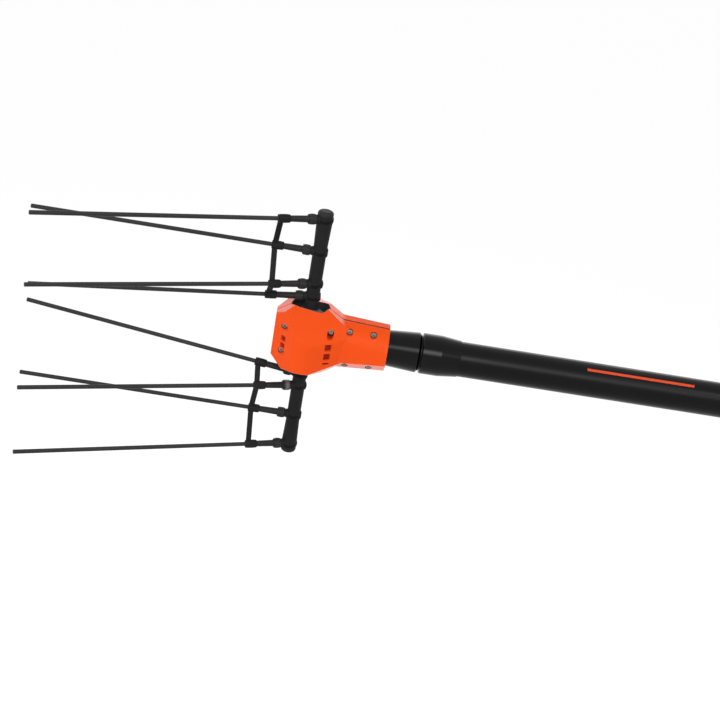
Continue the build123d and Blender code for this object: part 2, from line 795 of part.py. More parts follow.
def web():
    """Strap that ties the four tines together, with a clip round each."""
    bore = sleeve_end_radius + slip
    middle = socket_end - web_width / 2
    count = len(tine_heights)
    body = None
    for number in range(count - 1):
        a = along(number, middle)
        b = along(number + 1, middle)
        plane = Plane(origin=(a + b) / 2, x_dir=b - a, z_dir=(b - a).cross(Vector(-1, 0, 0)))
        strap = plane * Box((b - a).length, web_width, web_thick)
        body = strap if body is None else body + strap
    for number in range(count):
        direction = tine_line(number)[1]
        body += rod(along(number, clip_start), direction, clip_radius, socket_end - clip_start)
    for number in range(count):
        body -= rod(along(number, 0), tine_line(number)[1], bore, tine_reach)
    return body


def build():
    """Every node of the harvester by name, in the head frame."""
    near, far = housing_halves()
    frame_nodes = {
        "housing_near_half": near,
        "housing_far_half": far,
        "housing_screws": housing_screws(),
        "bearing_upper": bearing(),
        "bearing_lower": flip(bearing()),
        "boot_upper": boot(),
        "boot_lower": turned_over(boot()),
        "shaft_seal_upper": shaft_seal(),
        "shaft_seal_lower": flip(shaft_seal()),
        "gearbox": gearbox(),
        "motor": motor(),
        "motor_lead": motor_lead(),
        "collar": collar(),
        "ferrule": ferrule(),
        "pole": pole(),
        "grip": grip(),
        "switch_housing": switch_housing(),
        "switch_block": switch_block(),
        "switch_button": switch_button(),
        "switch_spring": switch_spring(),
        "rear_cap": rear_cap(),
        "power_inlet": power_inlet(),
        "crank": crank(),
        "crank_roller": crank_roller(),
    }
    comb_nodes = {
        "rocker_shaft": rocker_shaft(),
        "rocker_key": rocker_key(),
        "rocker_lever": rocker_lever(),
        "arm_pins": cross_pins(),
        "arm_upper": arm(),
        "arm_cap_upper": arm_cap(),
        "web_upper": web(),
    }
    for number in range(len(tine_heights)):
        comb_nodes[f"tine_upper_{number + 1}"] = tine(number)
        comb_nodes[f"tine_socket_upper_{number + 1}"] = tine_socket(number)
        comb_nodes[f"tine_nut_upper_{number + 1}"] = tine_nut(number)
    for name in [n for n in comb_nodes if "upper" in n]:
        comb_nodes[name.replace("upper", "lower")] = flip(comb_nodes[name])
    at_rest = Rot(0, 0, swing_rest)
    return frame_nodes | {name: at_rest * shape for name, shape in comb_nodes.items()}


def main():
    os.makedirs("parts", exist_ok=True)
    to_row = Pos(-hold_x, 0, 0)
    for name, shape in build().items():
        export_step(to_row * shape, f"parts/{name}.step")


main()
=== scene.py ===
import json
import math
import bmesh
import bpy
import numpy as np
from mathutils import Matrix, Vector


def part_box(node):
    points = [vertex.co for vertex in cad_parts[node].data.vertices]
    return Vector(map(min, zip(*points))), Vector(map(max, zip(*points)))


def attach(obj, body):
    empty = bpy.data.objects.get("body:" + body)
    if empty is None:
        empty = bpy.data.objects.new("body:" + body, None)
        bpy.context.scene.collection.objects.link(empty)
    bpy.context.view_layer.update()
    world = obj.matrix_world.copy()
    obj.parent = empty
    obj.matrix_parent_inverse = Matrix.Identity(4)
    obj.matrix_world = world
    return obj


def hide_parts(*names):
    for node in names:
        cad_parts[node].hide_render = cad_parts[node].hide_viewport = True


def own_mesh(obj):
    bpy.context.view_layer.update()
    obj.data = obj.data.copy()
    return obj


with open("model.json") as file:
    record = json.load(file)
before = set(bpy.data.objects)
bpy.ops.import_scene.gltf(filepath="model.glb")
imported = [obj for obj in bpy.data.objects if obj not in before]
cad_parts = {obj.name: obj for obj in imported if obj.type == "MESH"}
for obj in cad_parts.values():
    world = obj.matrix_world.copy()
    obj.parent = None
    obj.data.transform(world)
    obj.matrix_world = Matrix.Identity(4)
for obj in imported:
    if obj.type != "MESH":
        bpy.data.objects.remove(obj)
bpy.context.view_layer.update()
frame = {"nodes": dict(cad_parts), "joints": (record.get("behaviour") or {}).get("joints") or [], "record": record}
scene = bpy.context.scene
scene.view_settings.view_transform = "Standard"

# Places that come from the frame, in metres
joints = {joint["name"]: joint for joint in frame["joints"]}
HEAD = np.array(joints["comb_swing"]["pos_m"])              # where the swing axis meets the pole axis
BUTTON_X = joints["button_press"]["pos_m"][0]
SPRING_FOOT = joints["button_press"]["deforming_nodes"][0]["fixed_end_z_m"]
POLE_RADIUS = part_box("pole")[1][2]
PAD_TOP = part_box("switch_housing")[1][2]
GRIP_START, GRIP_END = (corner[0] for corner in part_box("grip"))
GRIP_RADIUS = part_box("grip")[1][2]

# Sizes are in metres and angles in degrees; an x of the head or the pole is counted from the swing axis

# Vents of the near half: name, middle of the mouth, facing, half length, half height, depth of the gauze, a dark
# reddish sheet of painted shade for the inside of the vent
CHEEK_FACING = np.array([-0.734, -0.679, 0.0])
FLANK_FACING = np.array([0.379, -0.925, 0.0])
VENTS = (
    ("cheek_high", (-0.0252, -0.02076, 0.0012), CHEEK_FACING, 0.0038, 0.0032, 0.0026),
    ("cheek_low", (-0.0252, -0.02076, -0.0075), CHEEK_FACING, 0.0038, 0.0032, 0.0026),
    ("flank_high", (0.026, -0.02913, 0.0017), FLANK_FACING, 0.004, 0.004, 0.0032),
    ("flank_middle", (0.026, -0.02913, -0.0095), FLANK_FACING, 0.004, 0.004, 0.0032),
    ("flank_low", (0.026, -0.02913, -0.018), FLANK_FACING, 0.004, 0.0013, 0.0022),
)
GAUZE_FILL = 0.985              # share of the mouth that the gauze fills
GAUZE_PITCH = 0.0011            # between two wires
GAUZE_RISE = 0.00012

# Screws of the near half: x, height, and from the joint of the halves out to the face of the head
DEEP_SCREW = (0.0263, 0.0175, 0.015)
SCREWS = ((-0.0255, 0.015, 0.0159), (-0.0255, -0.015, 0.0159), DEEP_SCREW, (0.0475, 0.0186, 0.0142),
          (0.0475, -0.0206, 0.0164), (0.0746, 0.0184, 0.0124), (0.0746, -0.0196, 0.015))
# Dark ring in each screw pocket, painted shade for the gap round the screw head
RING_RADIUS = 0.00336
RING_HALF_WIDE = 0.00031
RING_HALF_TALL = 0.0005
RING_SINK = 0.0006              # the ring lies behind the face of the head
PLUG_RISE = 0.0046
PLUG_SINK = 0.0002              # the plug starts inside the head
PLUG_STEPS = (0.0, 0.1, 0.45, 0.55, 0.65, 0.8, 0.9, 1.0)
PLUG_RADII = (0.0, 0.0029, 0.003, 0.003, 0.0027, 0.0015, 0.0013, 0.0)
PLUG_HEIGHTS = (0.0, 0.0, 0.3, 0.92, 1.0, 1.0, 0.76, 0.74)     # shares of the rise

# Top line of the neck, and the dark bead in its joint, painted shade for the step between the halves
NECK_X = 0.034
NECK_TOP = 0.0267               # height at that x
NECK_FALL = 0.0546              # fall in height per length
SEAL_START = 0.0342
SEAL_END = 0.0925
SEAL_HALF_WIDE = 0.00095
SEAL_HALF_TALL = 0.00085
SEAL_SINK = 0.0006
SEAL_SWELL = 0.35               # share that it swells by at the head end
SEAL_SWELL_RUN = 0.35           # share of half its length over which the swelling fades

# Comb: tines from the cap inwards, with their heights and tilts, and how they lean
TINE_HEIGHTS = (0.1414, 0.1029, 0.0642, 0.0488)
TINE_TILTS = (0.0, 0.0, 0.6, 7.0)
TINE_SPLAY = 10.4               # alternate tines lean to either side of the comb
SWING_REST = 10.4               # swing of the comb at rest
ENDS = {1: "upper", -1: "lower"}

# Nuts and clips: from the arm axis to the middle, half length, radius to mid wall, half wall, crown
NUT_MIDDLE = 0.01475
NUT_HALF_LONG = 0.0044
NUT_RADIUS = 0.00475
NUT_HALF_WALL = 0.0007
NUT_CROWN = 0.00055
NUT_CROWN_FADE = 0.75           # share of the crown that is lost towards the ends
NUT_SQUARENESS = 0.45           # a lower power gives a squarer section
NUT_FLUTES = 18
NUT_FLUTE_DEPTH = 0.00012
CLIP_MIDDLE = 0.0468
CLIP_HALF_LONG = 0.0066
CLIP_RADIUS = 0.0041
CLIP_HALF_WALL = 0.00048
CLIP_CROWN = 0.00032
CLIP_SQUARENESS = 0.4

# Bar of the arm, which swells towards its end, and the dark bands of painted shade at the folds on it
BAR_RADIUS = 0.00775
BAR_SWELL = 0.00115
BAR_SWELL_START = 0.108
BAR_SWELL_RUN = 0.03
FOLD_HALF_TALL = 0.0021
FOLD_RISE = 0.0004
FOLD_DIP = 0.0016
FOLD_PROUD = 0.00028
FOLD_RIM_DROP = 0.00048

# Grip
GRIP_BORE = 0.01996
GRIP_GROOVES = 12
GROOVE_DEPTH = 0.0013
GRIP_RIM_DROP = 0.0008
GRIP_RIM_RUN = 0.008            # share of the length
KNURL_RISE = 0.00012
KNURL_ROUND = 32                # waves of the knurl round the grip
KNURL_ALONG = 42                # and along it

# Button bead and spring
GAITER_RADIUS = 0.0113
GAITER_HALF_WIDE = 0.0013
GAITER_HALF_TALL = 0.0011
GAITER_RISE = 0.0001            # above the pad
SPRING_TOP = 0.0332
SPRING_RADIUS = 0.0046
SPRING_WIRE = 0.00045
SPRING_TURNS = 3.5
SPRING_GAP = 0.00002            # above and below the spring

# Stripes of the pole: name, and from which angle to which, above the near side
STRIPES = (("near", 53.0, 63.0), ("far", 117.0, 127.0))
STRIPE_MIDDLE = 0.382
STRIPE_HALF_LONG = 0.063
STRIPE_PROUD = 0.0001
STRIPE_RIM_DROP = 0.00025

# Stage: the floor, and each lamp's name, place, aim, size and power
FLOOR_Z = -0.9
FLOOR_HALF = 9.0
FLOOR_GLOW = 0.915              # what the floor shows of itself, with a trace of shade on top
LAMPS = (
    ("left_lamp", (-2.4, -1.6, 1.3), (-0.6, 0.0, 0.0), (0.7, 0.7), 18.5),
    ("right_lamp", (1.2, -1.6, 2.4), (-0.6, 0.0, 0.0), (0.7, 0.7), 20.0),
    ("floor_lamp", (-0.6, 0.8, -0.08), (-0.6, 0.8, -0.9), (2.0, 0.5), 20.0),
)
# The pale surround: which way each soft patch lies, how narrow it is, and how bright
SURROUND = (
    ((0.0, 0.985, 0.1736), 6.0, 1.9),
    ((-0.98, 0.0, 0.2), 4.0, 1.5),
    ((0.98, 0.0, 0.2), 4.0, 0.8),
    ((0.0, -0.995, 0.0995), 6.0, 0.25),
    ((0.0, -0.7071, 0.7071), 6.0, 0.12),
    ((0.0, 0.1736, 0.985), 6.0, 0.4),
    ((0.0735, -0.8088, 0.5882), 45.0, 7.0),
)

# Camera: lens and picture in pixels, turn, rise and roll in degrees, and where the head lies in the picture
LENS_PX = 1483.7
PICTURE_PX = 720.0
CAMERA_TURN = -3.08
CAMERA_RISE = 26.01
CAMERA_ROLL = -10.26
CAMERA_DISTANCE = 1.680
HEAD_ACROSS_PX = 306.3
HEAD_DOWN_PX = 335.0
SENSOR_MM = 36.0


def tree_of(name):
    """A new node material, its tree and its shader."""
    material = bpy.data.materials.new(name)
    material.use_nodes = True
    tree = material.node_tree
    return material, tree, tree.nodes["Principled BSDF"]


def place(tree, stretch=(1.0, 1.0, 1.0)):
    """Object coordinates, stretched along the axes."""
    where = tree.nodes.new("ShaderNodeTexCoord")
    mapping = tree.nodes.new("ShaderNodeMapping")
    mapping.inputs["Scale"].default_value = stretch
    tree.links.new(where.outputs["Object"], mapping.inputs["Vector"])
    return mapping.outputs["Vector"]


def parts_of(tree, vector):
    """The X, Y and Z outputs of a vector."""
    parts = tree.nodes.new("ShaderNodeSeparateXYZ")
    tree.links.new(vector, parts.inputs["Vector"])
    return parts.outputs


def noise(tree, where, scale, detail=3.0, rough=0.55):
    """Noise from 0 to 1 at a scale per metre."""
    node = tree.nodes.new("ShaderNodeTexNoise")
    node.inputs["Scale"].default_value = scale
    node.inputs["Detail"].default_value = detail
    node.inputs["Roughness"].default_value = rough
    tree.links.new(where, node.inputs["Vector"])
    return node.outputs["Fac"]


def spread(tree, value, low, high, start=0.3, end=0.7):
    """A value stretched from the range start to end to the range low to high."""
    node = tree.nodes.new("ShaderNodeMapRange")
    node.inputs["From Min"].default_value = start
    node.inputs["From Max"].default_value = end
    node.inputs["To Min"].default_value = low
    node.inputs["To Max"].default_value = high
    tree.links.new(value, node.inputs["Value"])
    return node.outputs["Result"]


def sums(tree, operation, first, second):
    """One step of arithmetic between a socket and a socket or a fixed value."""
    step = tree.nodes.new("ShaderNodeMath")
    step.operation = operation
    tree.links.new(first, step.inputs[0])
    if isinstance(second, float):
        step.inputs[1].default_value = second
    else:
        tree.links.new(second, step.inputs[1])
    return step.outputs["Value"]


def blend_colours(tree, value, first, second):
    """Two colours, fixed or from sockets, mixed by a value from 0 to 1."""
    node = tree.nodes.new("ShaderNodeMix")
    node.data_type = "RGBA"
    tree.links.new(value, node.inputs[0])
    for socket, colour in ((node.inputs[6], first), (node.inputs[7], second)):
        if isinstance(colour, tuple):
            socket.default_value = (*colour, 1.0)
        else:
            tree.links.new(colour, socket)
    return node.outputs[2]


def relief(tree, height, depth):
    """A surface relief of the given depth in metres."""
    node = tree.nodes.new("ShaderNodeBump")
    node.inputs["Distance"].default_value = depth
    tree.links.new(height, node.inputs["Height"])
    return node.outputs["Normal"]


def moulded(name, pale, dark, rough, grain, depth, specular=0.5, metallic=0.0, stretch=(1.0, 1.0, 1.0)):
    """A moulded, painted or turned surface: a fine grain, slow patches of colour, and uneven gloss."""
    patches, gloss_patches = 22.0, 110.0
    material, tree, shader = tree_of(name)
    where = place(tree, stretch)
    slow = spread(tree, noise(tree, where, patches), 0.0, 1.0)
    tree.links.new(blend_colours(tree, slow, dark, pale), shader.inputs["Base Color"])
    tree.links.new(spread(tree, noise(tree, where, gloss_patches, 4.0), *rough), shader.inputs["Roughness"])
    tree.links.new(relief(tree, noise(tree, where, grain, 4.0), depth), shader.inputs["Normal"])
    shader.inputs["Specular IOR Level"].default_value = specular
    shader.inputs["Metallic"].default_value = metallic
    return material


def cover(material, value, colour):
    """A colour laid over a finish where a value goes from 0 to 1."""
    tree = material.node_tree
    base = tree.nodes["Principled BSDF"].inputs["Base Color"]
    tree.links.new(blend_colours(tree, value, base.links[0].from_socket, colour), base)


def paint_foot_sheen(material):
    """Feet of the arms, which turn inside the housing: a painted grey sheen up to a height from the pole axis."""
    grey_to, black_from = 0.0325, 0.0355
    tree = material.node_tree
    height = sums(tree, "ABSOLUTE", parts_of(tree, place(tree))["Z"], 0.0)
    cover(material, spread(tree, height, 1.0, 0.0, grey_to, black_from), (0.2, 0.21, 0.22))


def paint_nut_glint(material):
    """Painted highlight on one nut: a pale glint which fades between two distances from a point on it."""
    pale_to, black_from = 0.0052, 0.0066
    tree = material.node_tree
    gap = tree.nodes.new("ShaderNodeVectorMath")
    gap.operation = "DISTANCE"
    tree.links.new(place(tree), gap.inputs[0])
    gap.inputs[1].default_value = tuple(HEAD + np.array([-0.0138, -0.0052, -0.064]))
    cover(material, spread(tree, gap.outputs["Value"], 1.0, 0.0, pale_to, black_from), (0.34, 0.33, 0.34))


def polish_shell(material):
    """A clear coat on the rims and underside of the shell, set by which way a face looks.

    The broad faces keep their matt grain, and the upper part of the neck is rubbed dull.
    """
    rim_coat, coat_rough, coat_ior = 0.8, 0.34, 2.0
    rim_full, rim_none = 0.3, 0.6           # how far a rim's face looks to the near or far side
    below_full, below_none = -0.6, -0.3     # how far an underside's face looks up
    dull_x, dull_x_run = HEAD[0] + 0.036, 0.006
    dull_z, dull_z_run = 0.012, 0.008
    tree = material.node_tree
    shader = tree.nodes["Principled BSDF"]
    where = parts_of(tree, place(tree))
    facing = parts_of(tree, tree.nodes.new("ShaderNodeTexCoord").outputs["Normal"])
    rim = spread(tree, sums(tree, "ABSOLUTE", facing["Y"], 0.0), 1.0, 0.0, rim_full, rim_none)
    below = spread(tree, facing["Z"], 1.0, 0.0, below_full, below_none)
    ahead = spread(tree, where["X"], 1.0, 0.0, dull_x, dull_x + dull_x_run)
    low = spread(tree, where["Z"], 1.0, 0.0, dull_z, dull_z + dull_z_run)
    coat = sums(tree, "MAXIMUM", sums(tree, "MULTIPLY", rim, rim_coat), below)
    coat = sums(tree, "MULTIPLY", coat, sums(tree, "MAXIMUM", ahead, low))
    tree.links.new(coat, shader.inputs["Coat Weight"])
    shader.inputs["Coat Roughness"].default_value = coat_rough
    shader.inputs["Coat IOR"].default_value = coat_ior


# Finishes: pale and dark colour, range of roughness, grain per metre and its depth, and what else differs
FINISHES = {
    "orange_shell": dict(pale=(0.93, 0.089, 0.0105), dark=(0.89, 0.083, 0.0095), rough=(0.34, 0.42),
                         grain=2600.0, depth=0.00002, specular=0.06),
    "orange_button": dict(pale=(0.93, 0.089, 0.0105), dark=(0.89, 0.083, 0.0095), rough=(0.28, 0.36),
                          grain=2600.0, depth=0.00002),
    "pole_stripe": dict(pale=(0.8, 0.075, 0.012), dark=(0.72, 0.062, 0.01), rough=(0.34, 0.44),
                        grain=1800.0, depth=0.00001, specular=0.3),
    # painted shade: a dark reddish sheet for the shaded inside of the vents
    "vent_shade_gauze": dict(pale=(0.36, 0.018, 0.004), dark=(0.24, 0.012, 0.003), rough=(0.6, 0.75),
                       grain=1500.0, depth=0.00005, specular=0.2),
    # painted shade: the dark bead in the neck's joint and the dark rings in the screw pockets
    "joint_shade_seal": dict(pale=(0.014, 0.007, 0.006), dark=(0.009, 0.005, 0.004), rough=(0.6, 0.75),
                       grain=1500.0, depth=0.00004, specular=0.15),
    "black_moulding": dict(pale=(0.016, 0.016, 0.017), dark=(0.011, 0.011, 0.012), rough=(0.52, 0.64),
                           grain=2200.0, depth=0.00004, specular=0.1),
    # painted sheen: a grey sheen is laid over the feet of the arms
    "arm_moulding": dict(pale=(0.016, 0.016, 0.017), dark=(0.011, 0.011, 0.012), rough=(0.5, 0.62),
                         grain=2200.0, depth=0.00004, specular=0.1),
    "cap_moulding": dict(pale=(0.024, 0.024, 0.0255), dark=(0.018, 0.018, 0.019), rough=(0.5, 0.6),
                         grain=2200.0, depth=0.00004, specular=0.15),
    # painted shade: dark bands at the folds of the arms
    "arm_shade_band": dict(pale=(0.006, 0.006, 0.0066), dark=(0.004, 0.004, 0.0044), rough=(0.6, 0.72),
                     grain=2200.0, depth=0.00004, specular=0.1),
    "gloss_black": dict(pale=(0.002, 0.002, 0.0025), dark=(0.0015, 0.0015, 0.002), rough=(0.1, 0.14),
                        grain=900.0, depth=0.00001, specular=0.16),
    "black_pole": dict(pale=(0.004, 0.004, 0.0046), dark=(0.003, 0.003, 0.0035), rough=(0.24, 0.32),
                       grain=1500.0, depth=0.00001, specular=0.13, stretch=(0.15, 1.0, 1.0)),
    "tine_carbon": dict(pale=(0.03, 0.03, 0.031), dark=(0.02, 0.02, 0.021), rough=(0.4, 0.5),
                        grain=1800.0, depth=0.00002, specular=0.2, stretch=(0.05, 1.0, 1.0)),
    "socket_rubber": dict(pale=(0.019, 0.019, 0.02), dark=(0.012, 0.012, 0.013), rough=(0.42, 0.55),
                          grain=2400.0, depth=0.00004, specular=0.2),
    # painted highlight: a pale glint is laid over this one nut's finish
    "glinting_nut": dict(pale=(0.019, 0.019, 0.02), dark=(0.012, 0.012, 0.013), rough=(0.4, 0.5),
                     grain=2400.0, depth=0.00004, specular=0.2),
    "soft_rubber": dict(pale=(0.014, 0.014, 0.015), dark=(0.01, 0.01, 0.0107), rough=(0.55, 0.7),
                        grain=2600.0, depth=0.00006, specular=0.25),
    # paler than the other rubbers: a painted sheen for the grey glints on the boots in the opening
    "boot_rubber_sheen": dict(pale=(0.034, 0.036, 0.038), dark=(0.026, 0.027, 0.029), rough=(0.42, 0.55),
                        grain=2600.0, depth=0.00006),
    "lead_sheath": dict(pale=(0.03, 0.03, 0.032), dark=(0.022, 0.022, 0.024), rough=(0.5, 0.6),
                        grain=2000.0, depth=0.00003),
    "screw_steel": dict(pale=(0.33, 0.31, 0.3), dark=(0.23, 0.22, 0.21), rough=(0.24, 0.34),
                        grain=3000.0, depth=0.00001, metallic=0.7),
    "bearing_steel": dict(pale=(0.66, 0.66, 0.68), dark=(0.56, 0.56, 0.58), rough=(0.18, 0.28),
                          grain=3000.0, depth=0.00001, metallic=1.0),
    "machined_steel": dict(pale=(0.6, 0.6, 0.62), dark=(0.5, 0.5, 0.52), rough=(0.24, 0.34),
                           grain=3000.0, depth=0.00001, metallic=1.0),
    "cast_aluminium": dict(pale=(0.62, 0.63, 0.64), dark=(0.54, 0.55, 0.56), rough=(0.4, 0.52),
                           grain=1600.0, depth=0.00004, metallic=1.0),
    "motor_can": dict(pale=(0.14, 0.14, 0.15), dark=(0.1, 0.1, 0.11), rough=(0.34, 0.44),
                      grain=1500.0, depth=0.00002, metallic=0.6),
}
# Nodes whose finish differs from the one of their slot
NODE_FINISHES = {
    "arm_upper": "arm_moulding",
    "arm_lower": "arm_moulding",
    "arm_cap_upper": "cap_moulding",
    "arm_cap_lower": "cap_moulding",
    "boot_upper": "boot_rubber_sheen",
    "boot_lower": "boot_rubber_sheen",
    # painted highlight on this nut
    "tine_nut_lower_3": "glinting_nut",
}

finishes = {name: moulded(name, **finish) for name, finish in FINISHES.items()}
polish_shell(finishes["orange_shell"])
paint_foot_sheen(finishes["arm_moulding"])
paint_nut_glint(finishes["glinting_nut"])
for part in frame["record"]["subparts"]:
    mesh = frame["nodes"][part["node"]].data
    mesh.materials.clear()
    mesh.materials.append(finishes[NODE_FINISHES.get(part["node"], part["material_slot"])])


def grid(first, second):
    """Two parameters spread over a grid."""
    return np.meshgrid(first, second, indexing="ij")


def loop(steps):
    """Angles of a full turn in equal steps, the last one short of the first."""
    return np.linspace(0, 2 * np.pi, steps, endpoint=False)


def squared(wave, power):
    """A wave from -1 to 1 raised to a power with its sign kept, which makes a round loop squarer."""
    return np.sign(wave) * np.abs(wave) ** power


def on_far_half(points):
    """Points of the near half after half a turn about the pole axis."""
    return points * np.array([1.0, -1.0, -1.0])


def surface(name, points, finish, body, closed_u=False, closed_v=False):
    """A piece from an array of points over a grid of two parameters, with a closed seam where asked.

    Points that fall together, as at the tip of a turned shape, become one.
    """
    rows, columns = points.shape[:2]
    index = np.arange(rows * columns).reshape(rows, columns)
    if closed_u:
        index = np.concatenate([index, index[:1]], axis=0)
    if closed_v:
        index = np.concatenate([index, index[:, :1]], axis=1)
    corners = [index[:-1, :-1], index[1:, :-1], index[1:, 1:], index[:-1, 1:]]
    faces = np.stack(corners, axis=-1).reshape(-1, 4)
    mesh = bpy.data.meshes.new(name)
    mesh.from_pydata(points.reshape(-1, 3).tolist(), [], faces.tolist())
    welded = bmesh.new()
    welded.from_mesh(mesh)
    bmesh.ops.remove_doubles(welded, verts=welded.verts, dist=1e-7)
    welded.to_mesh(mesh)
    welded.free()
    mesh.polygons.foreach_set("use_smooth", np.ones(len(mesh.polygons), dtype=bool))
    mesh.materials.append(finishes[finish])
    piece = bpy.data.objects.new(name, mesh)
    scene.collection.objects.link(piece)
    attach(piece, body)
    return piece


def vent_shade_gauze(name, mouth, facing, half_long, half_tall, depth, side):
    """Painted shade: dark reddish gauze at the bottom of a vent, a flat grid whose height is a product of two sine
    waves.
    """
    u, v = grid(np.linspace(-1, 1, 33), np.linspace(-1, 1, 33))
    wires = 2 * np.pi / GAUZE_PITCH
    height = GAUZE_RISE * np.sin(u * half_long * wires) * np.sin(v * half_tall * wires) - depth
    along = np.array([-facing[1], facing[0], 0.0])
    upward = np.array([0.0, 0.0, 1.0])
    points = (np.array(mouth) + facing * height[..., None] + along * (u * half_long * GAUZE_FILL)[..., None]
              + upward * (v * half_tall * GAUZE_FILL)[..., None])
    if side == "far":
        points = on_far_half(points)
    surface(f"vent_shade_gauze_{side}_{name}", points + HEAD, "vent_shade_gauze", "pole")


def screw_shade_ring(number, x, z, head):
    """Dark ring in a screw pocket, painted shade for the gap round the head: a flat oval carried round the screw
    head.
    """
    t, turn = grid(loop(16), loop(64))
    radius = RING_RADIUS + RING_HALF_WIDE * np.cos(t)
    y = RING_SINK - head + RING_HALF_TALL * np.sin(t)
    points = np.stack([x + radius * np.cos(turn), y, z + radius * np.sin(turn)], axis=-1)
    surface(f"screw_shade_ring_{number}", points + HEAD, "joint_shade_seal", "pole", closed_u=True,
            closed_v=True)


def deep_screw_plug(x, z, head):
    """Steel plug on the deepest screw: a turned profile with a rounded rim and a dished middle."""
    t, turn = grid(np.linspace(0, 1, 49), loop(64))
    radius = np.interp(t, PLUG_STEPS, PLUG_RADII)
    y = PLUG_SINK - head - PLUG_RISE * np.interp(t, PLUG_STEPS, PLUG_HEIGHTS)
    points = np.stack([x + radius * np.cos(turn), y, z + radius * np.sin(turn)], axis=-1)
    surface("deep_screw_plug", points[::-1] + HEAD, "screw_steel", "pole", closed_v=True)


def joint_shade_seal(end, side):
    """Painted shade in the neck's joint: a dark oval bead carried along the sloping top line, thinned to its ends.
    """
    t, turn = grid(np.linspace(-1, 1, 81), loop(20))
    x = SEAL_START + (SEAL_END - SEAL_START) * (t + 1) / 2
    middle = NECK_TOP - NECK_FALL * (x - NECK_X) - SEAL_SINK
    thinned = np.sqrt(np.clip(1 - t ** 40, 0.0, 1.0))
    size = thinned * (1 + SEAL_SWELL * np.exp(-((t + 1) / SEAL_SWELL_RUN) ** 2))
    y = SEAL_HALF_WIDE * size * np.cos(turn)
    points = np.stack([x, y, middle + SEAL_HALF_TALL * size * np.sin(turn)], axis=-1)
    if side == "far":
        points = on_far_half(points)
    surface(f"joint_shade_seal_{end}", points[::-1] + HEAD, "joint_shade_seal", "pole", closed_v=True)


def about_tine(name, side, number, distance, radius, turn, finish):
    """A closed ring about a tine: distances from the arm and radii over a loop, carried round a turn."""
    lean = math.radians(SWING_REST + (TINE_SPLAY if number % 2 == 1 else -TINE_SPLAY))
    tilt = math.radians(TINE_TILTS[number - 1])
    level = math.cos(tilt)
    ahead = np.array([-math.cos(lean) * level, -math.sin(lean) * level, -side * math.sin(tilt)])
    across = np.cross(ahead, np.array([0.0, 0.0, 1.0]))
    across /= np.linalg.norm(across)
    over = np.cross(across, ahead)
    root = HEAD + np.array([0.0, 0.0, side * TINE_HEIGHTS[number - 1]])
    points = (root + ahead * distance[..., None] + across * (radius * np.cos(turn))[..., None]
              + over * (radius * np.sin(turn))[..., None])
    return surface(name, points[::-1], finish, "comb", closed_u=True, closed_v=True)


def collar_nut(side, number):
    """Barrel nut on a tine: a squarish loop that bulges in the middle, with shallow flutes round it."""
    t, turn = grid(loop(40), loop(108))
    wide = squared(np.cos(t), NUT_SQUARENESS)
    high = squared(np.sin(t), NUT_SQUARENESS)
    crown = np.clip(high, 0.0, 1.0) * (1 - NUT_CROWN_FADE * wide ** 2)
    fluted = NUT_CROWN + NUT_FLUTE_DEPTH * np.cos(NUT_FLUTES * turn)
    radius = NUT_RADIUS + NUT_HALF_WALL * high + crown * fluted
    node = f"tine_nut_{ENDS[side]}_{number}"
    piece = about_tine(f"collar_nut_{ENDS[side]}_{number}", side, number, NUT_MIDDLE + NUT_HALF_LONG * wide,
                       radius, turn, NODE_FINISHES.get(node, "socket_rubber"))
    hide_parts(node)


def clip_barrel(side, number):
    """Rounded clip of the strap round a tine: a squarish loop that bulges a little in the middle."""
    t, turn = grid(loop(36), loop(72))
    wide = squared(np.cos(t), CLIP_SQUARENESS)
    high = squared(np.sin(t), CLIP_SQUARENESS)
    crown = CLIP_CROWN * np.clip(high, 0.0, 1.0) * (1 - wide ** 2)
    about_tine(f"clip_barrel_{ENDS[side]}_{number}", side, number, CLIP_MIDDLE + CLIP_HALF_LONG * wide,
               CLIP_RADIUS + CLIP_HALF_WALL * high + crown, turn, "black_moulding")


def arm_shade_band(side, number, height):
    """Painted shade at a fold round an arm beside a tine: a dark low band whose line dips on both flanks."""
    t, turn = grid(np.linspace(-1, 1, 17), loop(96))
    z = side * height + FOLD_HALF_TALL * t - FOLD_DIP * np.sin(turn) ** 2 + FOLD_RISE
    bar = BAR_RADIUS + BAR_SWELL * np.clip((np.abs(z) - BAR_SWELL_START) / BAR_SWELL_RUN, 0.0, 1.0)
    radius = bar + FOLD_PROUD - FOLD_RIM_DROP * t ** 4
    points = np.stack([radius * np.cos(turn), radius * np.sin(turn), z], axis=-1)
    surface(f"arm_shade_band_{ENDS[side]}_{number}", points[::-1] + HEAD, "arm_shade_band", "comb",
            closed_v=True)


def grip_sleeve():
    """Rubber grip: a round with twelve soft finger grooves and a fine diamond knurl, closed by its bore."""
    steps, bays = 300, GRIP_GROOVES + 1
    s, turn = grid(np.concatenate([np.linspace(0, 1, steps), [1.0, 0.0]]), loop(192))
    edge = 0.5 - np.abs(s - 0.5)
    groove = np.clip(np.cos(2 * np.pi * bays * s), 0.0, 1.0) ** 1.5 * (edge > 0.5 / bays)
    rim = np.clip(edge / GRIP_RIM_RUN, 0.0, 1.0)
    along = 2 * np.pi * KNURL_ALONG * s
    knurl = np.cos(KNURL_ROUND * turn + along) * np.cos(KNURL_ROUND * turn - along)
    smooth = GRIP_RADIUS - GROOVE_DEPTH * groove - GRIP_RIM_DROP * (1 - np.sqrt(rim))
    radius = smooth + KNURL_RISE * knurl * rim
    radius[steps:] = GRIP_BORE
    x = GRIP_START + (GRIP_END - GRIP_START) * s
    points = np.stack([x, radius * np.cos(turn), radius * np.sin(turn)], axis=-1)
    piece = surface("grip_sleeve", points[::-1], "soft_rubber", "pole", closed_u=True,
                    closed_v=True)
    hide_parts("grip")


